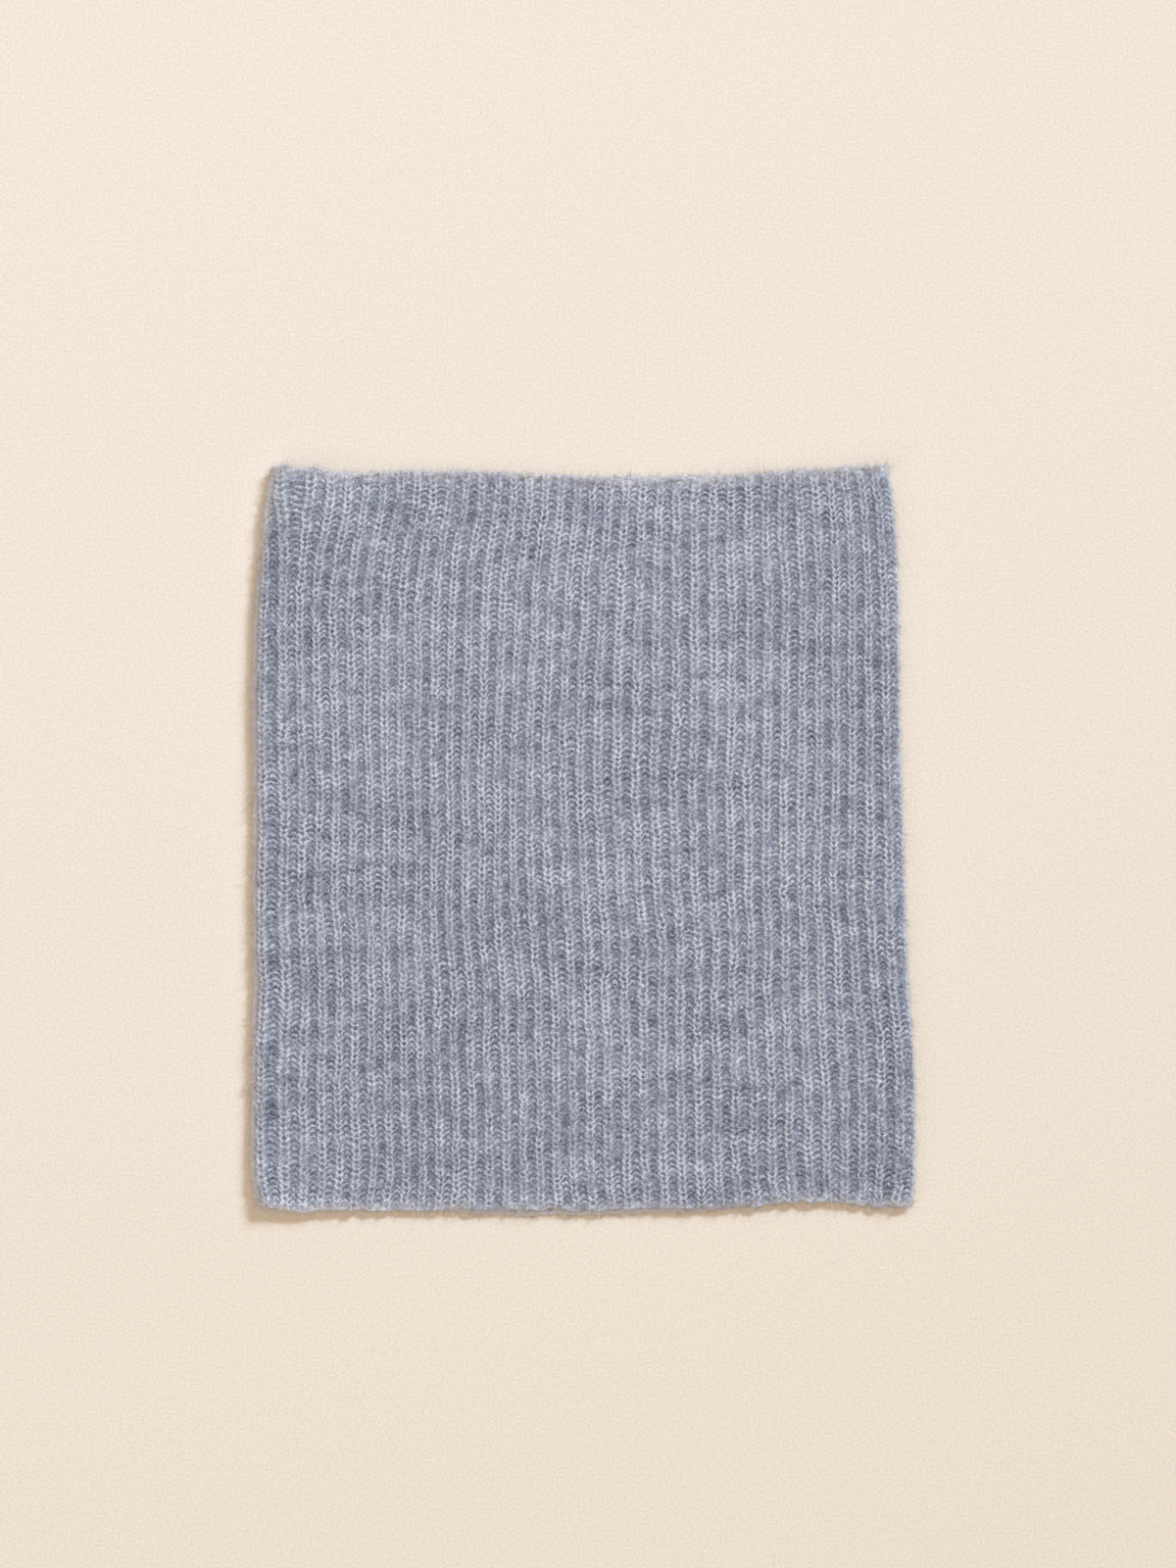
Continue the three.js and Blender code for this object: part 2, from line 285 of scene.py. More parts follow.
# The stitches of the 1x1 rib, widths and heights in mm
stitch = {
    "legApart": 1.13,  # of a yarn line from its rib's middle, on average
    "legBow": 0.47,  # how far the two lines swing apart and together once a course
    "legHalfWidth": 0.62,
    "legHeight": 0.5,
    "veeRise": 0.3,  # how much higher the lines are where they run outwards, which makes the row of vees
    "archHalfSpan": 1.5,  # where an arch in the valley has fallen by half a course
    "archReach": 1.9,
    "archHeight": 0.3,
    "wanderAcross": 0.045,  # of the stitches from their places, in ribs and in courses
    "wanderAlong": 0.20,
    "brushing": 0.3,  # how much higher or flatter the yarn is in places
    "valleyFrom": 0.20,  # where a valley's side starts and ends, in ribs from a rib's middle
    "valleyTo": 0.38,
    "valleyShade": 0.16,  # over how many ribs its shade grows
    "dotHalfWidth": 0.8,  # of the dark dots between a rib's two lines
}


# Yarn relief above the wall in mm at (rib, course), the higher of two:
# leg = legHeight * sqrt(1 - ((across - legApart - legBow * cos(2 pi course)) / legHalfWidth)^2)
#       * (1 + veeRise * cos(2 pi (course + 1/4))),
# arch = archHeight * (0.5 - 0.5 cos(2 pi (course + fall)))^2 * (1 - (beside / archReach)^2),
# where beside is the distance from the valley's middle and fall = 0.5 * (beside / archHalfSpan)^1.5, at most
# 0.5.
def yarnRelief(rib, course):
    across = np.abs(rib - np.floor(rib) - 0.5) * tube["ribPitch"]
    offLine = across - stitch["legApart"] - stitch["legBow"] * np.cos(2 * math.pi * course)
    leg = stitch["legHeight"] * np.sqrt(np.clip(1 - (offLine / stitch["legHalfWidth"]) ** 2, 0, None))
    leg = leg * (1 + stitch["veeRise"] * np.cos(2 * math.pi * (course + 0.25)))
    beside = tube["ribPitch"] / 2 - across
    fall = 0.5 * np.minimum(beside / stitch["archHalfSpan"], 1) ** 1.5
    wave = (0.5 - 0.5 * np.cos(2 * math.pi * (course + fall))) ** 2
    arch = stitch["archHeight"] * wave * np.clip(1 - (beside / stitch["archReach"]) ** 2, 0, None)
    return np.maximum(leg, arch)


# Where the stitches lie on an even grid of ribs and courses: each wanders a little from its place and slips
def wandered(rib, course):
    rng = np.random.default_rng(seeds["stitches"])
    across = latticeNoise(rng, rib, course, "stitchesAcross") * stitch["wanderAcross"]
    for slip in slips:
        reach = bell(slip["at"], slip["halfWidth"], rib)
        across = across + slip["ribs"] * reach * smooth(slip["from"], slip["to"], course)
    along = latticeNoise(rng, rib, course, "stitchesAlong") * stitch["wanderAlong"]
    return rib + across, course + along


# Depth of the rib valleys below the crests: a smooth step either side of each valley
def valleyDepth(rib):
    offMiddle = np.abs(rib - np.floor(rib) - 0.5)
    return tube["ribRelief"] * smooth(stitch["valleyFrom"], stitch["valleyTo"], offMiddle)


# A strip of the wall from one valley to another, as a closed band: the outer face up the tube, over the
# upper edge, down the inner face and under the lower edge. Columns are the same all the way round.
strip = {
    "rimRows": 5,
    "rimBulge": 0.9,  # how far the rim stands out, as a share of half the wall
    "innerFine": 5,  # courses near an open edge whose inner face has its stitches too
    "innerRows": 14,  # rows on the rest of the inner face
    "wander": 0.42,  # how far the ribs wander sideways, mm
    "alone": 0.35,  # shares of that for each rib and for a few together
    "together": 0.75,
    "underYarn": 0.35,  # how far the wall lies below its crests, where the yarn is added, mm
    "innerValleys": 0.6,  # depth of the valleys on the inner face, as a share of those on the outer one
    "topCourses": 2.2,  # the bound-off edges, where the ribs give way to lumps
    "bottomCourses": 1.0,
    "scallop": 0.2,  # how far the edge stands out at each rib, mm
    "edgeLumps": 0.32,  # random bumps of the edge, mm
    "lumpCourses": 5,
    "thickLumps": 0.5,  # the bumps' share that thickens the wall, over its own number of courses
    "thickCourses": 4,
    "plainEdge": 0.7,  # the share of the stitches' relief that is lost there
    "normalStep": 0.09,  # ribs to the column past each end of a strip
}


# 1 at the open edges, falling to 0 at reach courses from them: 1 - distance / reach, from 0 to 1
def edgeShare(course, reach):
    away = np.minimum(course, tube["courses"] - course)
    return np.clip(1 - away / reach, 0, 1)


# Ring positions of a strip's columns: each of its ribs + the places across a rib, and the last valley
def columnsOfRibs(firstRib, lastRib, places):
    return np.concatenate([r + np.array(places) for r in range(firstRib, lastRib)] + [[float(lastRib)]])


# Points of a face of the wall in mm: its middle + offset * outwards + a slow sideways drift of the ribs
def wallPoints(line, course, offsetOf):
    rng = np.random.default_rng(seeds["wall"])
    rib, course = np.broadcast_arrays(line[None, :], course)
    drift = latticeNoise(rng, rib, course, "ribDrift") * strip["alone"]
    drift = drift + latticeNoise(rng, rib, course, "wideDrift") * strip["together"]
    lumps = latticeNoise(rng, rib, course, "edgeLumps") * strip["edgeLumps"]
    waves = latticeNoise(rng, rib, course, "edgeWaves") * strip["edgeLumps"]
    scallops = strip["scallop"] * np.cos(2 * math.pi * (rib - 0.5))
    x, y, z, outX, outZ = wallMiddle(line, course / tube["courses"])
    uneven = edgeShare(course, strip["lumpCourses"]) * (scallops + lumps + waves)
    y = y + uneven * np.where(course > tube["courses"] / 2, 1, -1)
    offset = offsetOf(rib, course) + edgeShare(course, strip["thickCourses"]) * lumps * strip["thickLumps"]
    return np.stack([x + offset * outX + drift * strip["wander"] * np.abs(outZ), y, z + offset * outZ], -1)


# Offset of the outer face in mm: halfWall - underYarn + (yarn relief * brushing - valley) * knitted share
def outerOffset(rib, course):
    knitted = 1 - strip["plainEdge"] * edgeShare(course, strip["bottomCourses"])
    rng = np.random.default_rng(seeds["brushing"])
    brushed = 1 + stitch["brushing"] * latticeNoise(rng, rib, course, "brushing")
    rib, course = wandered(rib, course)
    return halfWall - strip["underYarn"] + (yarnRelief(rib, course) * brushed - valleyDepth(rib)) * knitted


# The inner face likewise: half a rib aside, because a rib's back is a valley, and without the brushing
def innerOffset(rib, course):
    knitted = 1 - strip["plainEdge"] * edgeShare(course, strip["bottomCourses"])
    rib, course = wandered(rib + 0.5, course)
    relief = yarnRelief(rib, course) - strip["innerValleys"] * valleyDepth(rib)
    return -halfWall + strip["underYarn"] - relief * knitted


# Rows are perCourse to a course on the outer face, and on the inner one near the open edges alone
def ribbedStrip(name, firstRib, lastRib, places, perCourse):
    s = columnsOfRibs(firstRib, lastRib, places)
    past = strip["normalStep"]  # a column past each end, for the normals alone
    s = np.concatenate([[s[0] - past], s, [s[-1] + past]])
    courses = tube["courses"]
    outerCourse = np.arange(courses * perCourse + 1) / perCourse
    fineRows = np.arange(strip["innerFine"] * perCourse + 1) / perCourse
    middleRows = np.linspace(strip["innerFine"], courses - strip["innerFine"], strip["innerRows"] + 2)[1:-1]
    innerCourse = np.concatenate([fineRows, middleRows, courses - fineRows[::-1]])[::-1]
    outer = wallPoints(s, outerCourse[:, None], outerOffset)
    inner = wallPoints(s, innerCourse[:, None], innerOffset)
    angle = np.linspace(0, math.pi, strip["rimRows"] + 2)[1:-1][:, None, None]

    def rim(start, end, direction):  # half an oval from start to end, standing out along the tube
        centre, half = (start + end) / 2, (start - end) / 2
        reach = np.linalg.norm(half, axis=-1, keepdims=True) * strip["rimBulge"] * direction
        return centre + half * np.cos(angle) + reach * np.sin(angle) * np.array([0, 1, 0])

    topRim, bottomRim = rim(outer[-1], inner[0], 1), rim(inner[-1], outer[0], -1)
    points = np.concatenate([outer, topRim, inner, bottomRim])
    points[..., 2] = np.maximum(points[..., 2], tube["offFloor"])
    courseOf = np.concatenate([
        outerCourse,
        np.full(len(topRim), float(courses)),
        innerCourse,
        np.zeros(len(bottomRim)),
    ])
    inside = np.concatenate([
        np.zeros(len(outer)),
        np.linspace(0, 1, len(topRim)),
        np.ones(len(inner)),
        np.linspace(1, 0, len(bottomRim)),
    ])
    return bandMesh(name, points, s, courseOf, inside)


# A mesh object from points in mm, face corners one after another, and the number of corners of each face
def meshOf(name, points, corners, sizes):
    mesh = bpy.data.meshes.new(name)
    mesh.vertices.add(len(points))
    mesh.vertices.foreach_set("co", (points * mm).reshape(-1).astype(np.float32))
    mesh.loops.add(len(corners))
    mesh.loops.foreach_set("vertex_index", corners.astype(np.int32))
    mesh.polygons.add(len(sizes))
    mesh.polygons.foreach_set("loop_start", np.concatenate([[0], np.cumsum(sizes)[:-1]]).astype(np.int32))
    mesh.update(calc_edges=True)
    mesh.polygons.foreach_set("use_smooth", np.ones(len(sizes), bool))
    piece = bpy.data.objects.new(name, mesh)
    bpy.context.scene.collection.objects.link(piece)
    return piece


# One number for each vertex, for the shader
def giveValues(mesh, name, values):
    mesh.attributes.new(name, "FLOAT", "POINT").data.foreach_set("value", values.astype(np.float32))


# A closed band of quads from a grid of points, whose last row joins the first, with a cap on each end.
# Normals are (slope along the columns) x (slope along the rows), taken past the ends, so that strips meet
# unseen.
def bandMesh(name, points, s, course, inside):
    upwards = np.roll(points, -1, 0)[:, 1:-1] - np.roll(points, 1, 0)[:, 1:-1]
    normals = np.cross(points[:, 2:] - points[:, :-2], upwards)
    normals /= np.maximum(np.linalg.norm(normals, axis=-1, keepdims=True), 1e-9)
    points, s = points[:, 1:-1], s[1:-1]
    rows, wide = points.shape[:2]
    index = np.arange(rows * wide).reshape(rows, wide)
    a, d = index[:, :-1], np.roll(index, -1, 0)[:, :-1]
    b, c = index[:, 1:], np.roll(index, -1, 0)[:, 1:]
    faces = np.stack([a, b, c, d], -1).reshape(-1)
    corners = np.concatenate([faces, index[:, 0], index[::-1, -1]])
    piece = meshOf(name, points.reshape(-1, 3), corners, [4] * (len(faces) // 4) + [rows, rows])
    mesh = piece.data
    mesh.normals_split_custom_set_from_vertices(normals.reshape(-1, 3))
    ribGrid = np.broadcast_to(s[None, :], (rows, wide)).reshape(-1)
    courseGrid = np.broadcast_to(course[:, None], (rows, wide)).reshape(-1)
    insideGrid = np.broadcast_to(inside[:, None], (rows, wide)).reshape(-1)
    ribPlace, coursePlace = wandered(ribGrid + 0.5 * (insideGrid > 0.5), courseGrid)
    places = np.stack([ribPlace[corners], coursePlace[corners]], -1)
    mesh.uv_layers.new(name="stitches").data.foreach_set("uv", places.reshape(-1).astype(np.float32))
    # random heather plus a painted falloff of light
    giveValues(mesh, "heather", heatherAndPaintedFalloff(ribGrid, courseGrid))
    # painted fill light, where the wool lies in shade
    giveValues(mesh, "worn", paintedFillShare(ribGrid, courseGrid))
    return piece


# The heather and a painted falloff of light: dashes of lighter and darker yarn along the courses, soft
# patches over a few ribs, and a slight painted falloff of light, darker from the upper edge to the lower one
heather = {"dashes": 0.55, "specks": 0.35, "patches": 0.40, "paintedFalloff": 0.4}


def heatherAndPaintedFalloff(rib, course):
    rng = np.random.default_rng(seeds["heather"])
    values = {
        "dashes": latticeNoise(rng, rib, np.floor(course) + 0.5, "dashes"),
        "specks": latticeNoise(rng, rib, course, "specks"),
        "patches": latticeNoise(rng, rib, course, "patches"),
        "paintedFalloff": course / tube["courses"] - 0.5,
    }
    return sum(heather[name] * value for name, value in values.items())


# Painted fill light: the wool is paler and warmer where it lies in shade, most on the outside of the left
# fold and at the lower open edges, a little on the right fold: the highest of share * exp(-((rib - at rib) /
# ribs)^2 - ((course - at course) / courses)^2)
worn = [
    {"share": 1.0, "atRib": leftFold, "ribs": 0.36, "atCourse": 62, "courses": 1000},
    {"share": 0.2, "atRib": rightFold, "ribs": 0.42, "atCourse": 62, "courses": 1000},
    {"share": 0.5, "atRib": 57, "ribs": 24, "atCourse": 0, "courses": 1.4},
    {"share": 0.42, "atRib": 3, "ribs": 7, "atCourse": -0.5, "courses": 1.8},
]


def paintedFillShare(rib, course):
    shares = []
    for row in worn:
        aside, above = ringWay(row["atRib"], rib) / row["ribs"], (course - row["atCourse"]) / row["courses"]
        shares.append(row["share"] * np.exp(-(aside**2 + above**2)))
    return np.maximum.reduce(shares)


# Shader maths as Python expressions: a wrapped socket adds a Math node for each operator
class Value:
    def __init__(self, nodes, socket):
        self.nodes, self.socket = nodes, socket

    def maths(self, operation, *others):
        return self.nodes.maths(operation, self, *others)

    def __add__(self, other):
        return self.maths("ADD", other)

    def __sub__(self, other):
        return self.maths("SUBTRACT", other)

    def __rsub__(self, other):
        return self.nodes.maths("SUBTRACT", other, self)

    def __mul__(self, other):
        return self.maths("MULTIPLY", other)

    def __truediv__(self, other):
        return self.maths("DIVIDE", other)

    def __rtruediv__(self, other):
        return self.nodes.maths("DIVIDE", other, self)

    def __pow__(self, other):
        return self.maths("POWER", other)

    def __rpow__(self, other):
        return self.nodes.maths("POWER", other, self)

    __radd__ = __add__
    __rmul__ = __mul__

    def clamped(self):
        return self.atMost(1.0).atLeast(0.0)

    def atMost(self, other):
        return self.maths("MINIMUM", other)

    def atLeast(self, other):
        return self.maths("MAXIMUM", other)

    def fraction(self):
        return self.maths("FRACT")

    def root(self):
        return self.atLeast(0.0).maths("SQRT")

    def size(self):
        return self.maths("ABSOLUTE")

    def floor(self):
        return self.maths("FLOOR")

    def cosine(self):
        return self.maths("COSINE")

    def squared(self):
        return self * self

    def blended(self, other):  # colours multiplied
        settings = {"data_type": "RGBA", "blend_type": "MULTIPLY"}
        return self.nodes.make("ShaderNodeMix", settings, {0: 1.0, 6: self, 7: other}, output=2)


class Nodes:
    def __init__(self, name):
        self.material = bpy.data.materials.new(name)
        self.material.use_nodes = True
        self.tree = self.material.node_tree
        self.tree.nodes.clear()

    # One node of any kind: its settings first, then the values or links of its sockets
    def make(self, kind, settings=None, inputs=None, output=0):
        node = self.tree.nodes.new(kind)
        for key, value in (settings or {}).items():
            if key == "stops":
                ramp = node.color_ramp.elements
                while len(ramp) < len(value):
                    ramp.new(0.5)
                for element, (place, colour) in zip(ramp, value):
                    element.position, element.color = place, (*colour, 1)
            else:
                setattr(node, key, value)
        for key, value in (inputs or {}).items():
            socket = node.inputs[key]
            if isinstance(value, Value):
                self.tree.links.new(value.socket, socket)
            elif isinstance(value, (tuple, list)) and len(value) == 3 and socket.type == "RGBA":
                socket.default_value = (*value, 1)
            else:
                socket.default_value = value
        return Value(self, node.outputs[output]) if node.outputs else None

    def maths(self, operation, *values):
        return self.make("ShaderNodeMath", {"operation": operation}, dict(enumerate(values)))

    def part(self, vector, output):  # one of a vector's coordinates
        return self.make("ShaderNodeSeparateXYZ", {}, {0: vector}, output=output)

    def mix(self, factor, first, second):
        settings = {"data_type": "RGBA"}
        return self.make("ShaderNodeMix", settings, {0: factor, 6: first, 7: second}, output=2)


# Colours of the wool in linear light, and how strongly each thing shows
wool = {
    "shade": (0.079, 0.094, 0.142),
    "body": (0.350, 0.396, 0.523),
    "light": (0.713, 0.764, 0.908),
    "leg": 0.32,  # painted highlight: how much lighter a rib's two raised yarn lines are
    "arch": 0.38,  # painted highlight: how much lighter the raised arches in the valleys are
    "valley": 0.20,  # painted shade: how much darker a whole valley is
    "vee": 0.13,  # painted highlight: how much lighter the yarn lines are where they run outwards and stand higher
    "paintedGapShade": 0.13,  # painted shade: how dark the dots between a rib's two lines are
    "topEdge": 0.38,  # painted highlight: how much lighter the bound-off edges are where their fuzz catches the light, the upper one more
    "bottomEdge": 0.13,
    # painted fill light: how much paler and warmer the wool is where it lies in shade on the folds and lower
    # open edges
    "paintedFillPale": 0.9,
    "paintedFillTint": (1.14, 1.09, 1.07),
    "stitches": 0.12,  # how much one stitch differs from the next
    "heather": 0.07,
    "strands": 0.36,
    "fuzz": 0.90,
    "clumps": 0.47,
    "patches": 0.37,
    "strayAcross": 0.14,  # how far fine noise bends the yarn lines, in ribs and in courses
    "strayAlong": 0.6,
    "strandThinness": 14.0,
    "brushClumps": 1.8,  # how far the brushing follows the clumps and the patches, and what is taken off
    "brushPatches": 3.4,
    "brushLess": 1.6,
    "edgeHides": 0.8,  # the share of the stitches that the bound-off edges hide
    "strandLift": 0.12,  # heights of the bump map, mm
    "fuzzLift": 0.18,
    "dotDepth": 0.35,
    "bump": 0.4,
}

# A middle value of each pattern, taken off it so that it makes some places lighter and others darker
middles = {"leg": 0.45, "arch": 0.35, "valley": 0.5, "strands": 0.35}


# The yarn relief of yarnRelief() as nodes on the stitches' UV map, bent by fine noise so that the lines look
# brushed. It gives the legs (0 to 1), 1 where they run outwards to -1 where inwards, the arches (0 to 1), 0
# on a rib to 1 in a valley, 1 in the dots between a rib's legs, 1 at the upper and at the lower edge, and a
# tone of 0 to 1 that changes from stitch to stitch.
def stitchNodes(n, stray):
    place = n.make("ShaderNodeUVMap", {"uv_map": "stitches"})
    plainCourse = n.part(place, 1)
    rib = n.part(place, 0) + (n.part(stray, 0) - 0.5) * wool["strayAcross"]
    course = plainCourse + (n.part(stray, 1) - 0.5) * wool["strayAlong"]
    offMiddle = (rib.fraction() - 0.5).size()
    across = offMiddle * tube["ribPitch"]
    swing = (course * (2 * math.pi)).cosine()
    vee = ((course + 0.25) * (2 * math.pi)).cosine()
    offLine = (across - stitch["legApart"] - swing * stitch["legBow"]) / stitch["legHalfWidth"]
    leg = (1.0 - offLine.squared()).root()
    beside = tube["ribPitch"] / 2 - across
    fall = (beside / stitch["archHalfSpan"]).atMost(1.0) ** 1.5 * 0.5
    wave = (0.5 - ((course + fall) * (2 * math.pi)).cosine() * 0.5).squared()
    arch = wave * (1.0 - (beside / stitch["archReach"]).squared()).clamped()
    valley = ((offMiddle - stitch["valleyFrom"]) / stitch["valleyShade"]).clamped()
    dots = (1.0 - (across / stitch["dotHalfWidth"]).squared()).clamped() * (0.5 + swing * 0.5)
    topEdge = (1.0 - (tube["courses"] - plainCourse) / strip["topCourses"]).clamped()
    bottomEdge = (1.0 - plainCourse / strip["bottomCourses"]).clamped()

    def toneOf(acrossPlace, alongPlace):  # a random tone for each whole number across and along
        cell = n.make("ShaderNodeCombineXYZ", {}, {0: acrossPlace.floor(), 1: alongPlace.floor()})
        return n.make("ShaderNodeTexWhiteNoise", {"noise_dimensions": "3D"}, {"Vector": cell})

    legTone, archTone = toneOf(rib * 2.0, course), toneOf(rib + 0.5, course + fall)
    return leg, vee, arch, valley, dots, topEdge, bottomEdge, legTone * (1.0 - valley) + archTone * valley


# Tone = 0.5 + the sum of (pattern - its middle) * its strength, from shade at 0 over body at 0.5 to light at
# 1. Bump height = strands and fuzz + the yarn relief - the dots.
def woolMaterial(name, tones, knitted=True):
    n = Nodes(name)
    place = n.make("ShaderNodeTexCoord", output=3)  # Object coordinates
    # the heather tone, with a painted falloff of light on the knit and painted light and shade on the loose
    # fibres
    tone = n.make("ShaderNodeAttribute", {"attribute_name": "heather"}, output=2)
    noise = "ShaderNodeTexNoise"
    fuzzy = n.make(noise, {}, {"Vector": place, "Scale": 1200.0, "Detail": 2.0, "Roughness": 0.6})
    clumps = n.make(noise, {}, {"Vector": place, "Scale": 330.0, "Detail": 2.0})
    patches = n.make(noise, {}, {"Vector": place, "Scale": 100.0, "Detail": 2.0})
    curls = n.make(noise, {}, {"Vector": place, "Scale": 620.0, "Detail": 1.0, "Distortion": 0.6})
    # thin curly lines where the noise crosses its middle
    strands = 1.0 - ((curls - 0.5).size() * wool["strandThinness"]).clamped()
    factor = (
        0.5
        + tone * wool["heather"]
        + (strands - middles["strands"]) * wool["strands"]
        + (fuzzy - 0.5) * wool["fuzz"]
        + (clumps - 0.5) * wool["clumps"]
        + (patches - 0.5) * wool["patches"]
    )
    lift = strands * wool["strandLift"] + fuzzy * wool["fuzzLift"]
    if knitted:
        stray = n.make(noise, {}, {"Vector": place, "Scale": 900.0, "Detail": 1.0}, output=1)
        leg, vee, arch, valley, dots, topEdge, bottomEdge, stitchTone = stitchNodes(n, stray)
        plain = 1.0 - (topEdge + bottomEdge) * wool["edgeHides"]
        # the brushing hides the yarn in some places more than in others
        brushed = clumps * wool["brushClumps"] + patches * wool["brushPatches"] - wool["brushLess"]
        brushed = brushed.atLeast(0.0)
        # painted fill light: paler, warmer wool where the folds and the lower open edges lie in shade
        paintedFillHere = n.make("ShaderNodeAttribute", {"attribute_name": "worn"}, output=2)
        # painted highlights on the raised yarn lines, their vees, the arches and the bound-off edges; painted
        # shade in the valleys and in the dots between the lines; painted fill light on the shaded folds and
        # lower edges; a random tone for each stitch
        factor = (
            factor
            + (leg - middles["leg"]) * (1.0 - valley) * brushed * wool["leg"] * plain
            + leg * vee * (1.0 - valley) * brushed * wool["vee"] * plain
            + (arch - middles["arch"]) * valley * brushed * wool["arch"] * plain
            - (valley - middles["valley"]) * wool["valley"] * plain
            - dots * brushed * wool["paintedGapShade"] * plain
            + (stitchTone - 0.5) * wool["stitches"]
            + topEdge * wool["topEdge"]
            + bottomEdge * wool["bottomEdge"]
            + paintedFillHere * wool["paintedFillPale"]
        )
        legLift = leg * (1.0 + vee * stitch["veeRise"]) * stitch["legHeight"]
        lift = lift + legLift.atLeast(arch * stitch["archHeight"]) * plain - dots * wool["dotDepth"]
    stops = [(0.0, tones["shade"]), (0.5, tones["body"]), (1.0, tones["light"])]
    colour = n.make("ShaderNodeValToRGB", {"stops": stops}, {"Fac": factor.clamped()})
    if knitted:
        # the painted fill light is warm as well as pale
        colour = n.mix(paintedFillHere, colour, colour.blended(wool["paintedFillTint"]))
    bump = n.make("ShaderNodeBump", {}, {"Strength": wool["bump"], "Distance": mm, "Height": lift})
    shader = n.make("ShaderNodeBsdfPrincipled", {}, {
        "Base Color": colour,
        "Roughness": 0.92,
        "Normal": bump,
        "Subsurface Weight": 0.4,
        "Subsurface Radius": (0.72, 0.64, 0.58),
        "Subsurface Scale": 0.0023,
        "Sheen Weight": 0.15,
        "Sheen Roughness": 0.6,
        "Sheen Tint": (0.85, 0.88, 1.0),
        "Specular IOR Level": 0.12,
    })
    n.make("ShaderNodeOutputMaterial", {}, {"Surface": shader})
    return n.material


# Loose fibres that stand off the wool: each is a thin three-sided spike that tapers and bends
fibre = {
    "joints": 3,
    "sides": 3,
    "radius": 0.075,
    "taper": 0.5,
    "bend": 0.9,
    "toneSpread": 0.8,  # in steps of the heather
    "offFloor": 0.03,
}


# Each fibre's path is root + length * (direction * t + bend * t^2 / 2), t from 0 to 1, thinning to its tip
def fibreMesh(name, roots, directions, lengths, paintedLightTone, rng):
    count, joints, sides = len(roots), fibre["joints"], fibre["sides"]
    bend = rng.standard_normal((count, 3)) * fibre["bend"]
    t = np.linspace(0, 1, joints)
    along = directions[:, None, :] * t[None, :, None] + bend[:, None, :] * (t**2)[None, :, None] * 0.5
    path = roots[:, None, :] + lengths[:, None, None] * along
    sideways = np.cross(directions, rng.standard_normal((count, 3)))
    sideways /= np.linalg.norm(sideways, axis=1, keepdims=True)
    upwards = np.cross(directions, sideways)
    angle = np.arange(sides) * 2 * math.pi / sides
    ring = sideways[:, None] * np.cos(angle)[:, None] + upwards[:, None] * np.sin(angle)[:, None]
    radius = fibre["radius"] * (1 - fibre["taper"] * t[:-1])
    rings = path[:, :-1, None] + ring[:, None] * radius[:, None, None]
    points = np.concatenate([rings.reshape(count, -1, 3), path[:, -1:]], 1)
    points[..., 2] = np.maximum(points[..., 2], fibre["offFloor"])
    k, perFibre = np.arange(sides), points.shape[1]
    low, tip = (joints - 2) * sides, perFibre - 1
    faces = [k[::-1], np.stack([low + k, low + (k + 1) % sides, np.full(sides, tip)], -1).reshape(-1)]
    for j in range(joints - 2):
        a, b = j * sides + k, j * sides + (k + 1) % sides
        for three in ([a, b, b + sides], [a, b + sides, a + sides]):
            faces.append(np.stack(three, -1).reshape(-1))
    corners = (np.concatenate(faces) + np.arange(count)[:, None] * perFibre).reshape(-1)
    piece = meshOf(name, points.reshape(-1, 3), corners, [3] * (len(corners) // 3))
    # a random tone, shifted by the painted light and shade given for the fibre's place
    tone = rng.standard_normal(count) * fibre["toneSpread"] + paintedLightTone
    giveValues(piece.data, "heather", np.repeat(tone, perFibre))
    return piece


# Columns across a rib as shares of it: its valley, the given places up to its middle in mm and one on the
# yarn line, its middle, and the same mirrored
def placesAcross(half):
    middle = tube["ribPitch"] / 2
    half = np.array([*half, middle - stitch["legApart"]])
    half.sort()
    return np.concatenate([[0], half, [middle], tube["ribPitch"] - half[::-1]]) / tube["ribPitch"]


print("stage: knitted wall")
upperLayer = {"places": placesAcross([0.65, 1.25, 1.8, 2.95]), "perCourse": 3}
lowerLayer = {"places": placesAcross([1.0, 1.8]), "perCourse": 2}
woolKnit = woolMaterial("heathered_wool", wool)
knitPieces = []
for name, firstRib, lastRib, layer in (
    ("upper_left_ribs", -1, 12, upperLayer),
    ("upper_middle_ribs", 12, 25, upperLayer),
    ("upper_right_ribs", 25, 38, upperLayer),
    ("lower_right_ribs", 38, 57, lowerLayer),
    ("lower_left_ribs", 57, 75, lowerLayer),
):
    piece = ribbedStrip(name, firstRib, lastRib, layer["places"], layer["perCourse"])
    piece.data.materials.append(woolKnit)
    knitPieces.append(piece)
    print("  ", name, len(piece.data.polygons) * 2, "triangles")

# Where the loose fibres grow: over the upper layer, round the folds and along the four open edges
fuzz = {
    "upper": 15500,
    "folds": 10500,
    "edges": 14000,
    "length": (0.9, 4.0),
    "spread": 0.9,  # how much a fibre leans aside
    "rooted": 0.2,  # how deep it starts in the wool, mm
    "leftShare": 0.76,  # of the folds' fibres
    "leftAside": 0.12,  # how far past the left fold's line they grow, in ribs
    "foldSpread": 0.38,  # how far from the folds they grow, in ribs
    "edgeDeep": 1.2,  # how far from the open edges, in courses
    "edgeLean": 0.85,  # how much those lean along the tube
    "leftPaintedLight": 5.0,  # painted light on the left fold's fibres, which lie in shade, in steps of the heather tone
    # painted shade on the right fold's fibres, which face the light
    "rightPaintedShade": 3.0,
    # painted shade on the fibres along the upper open edge
    "topPaintedShade": 1.5,
}
surfaceTones = {
    "shade": (0.135, 0.150, 0.200),
    "body": (0.460, 0.500, 0.605),
    "light": (0.810, 0.850, 0.960),
}
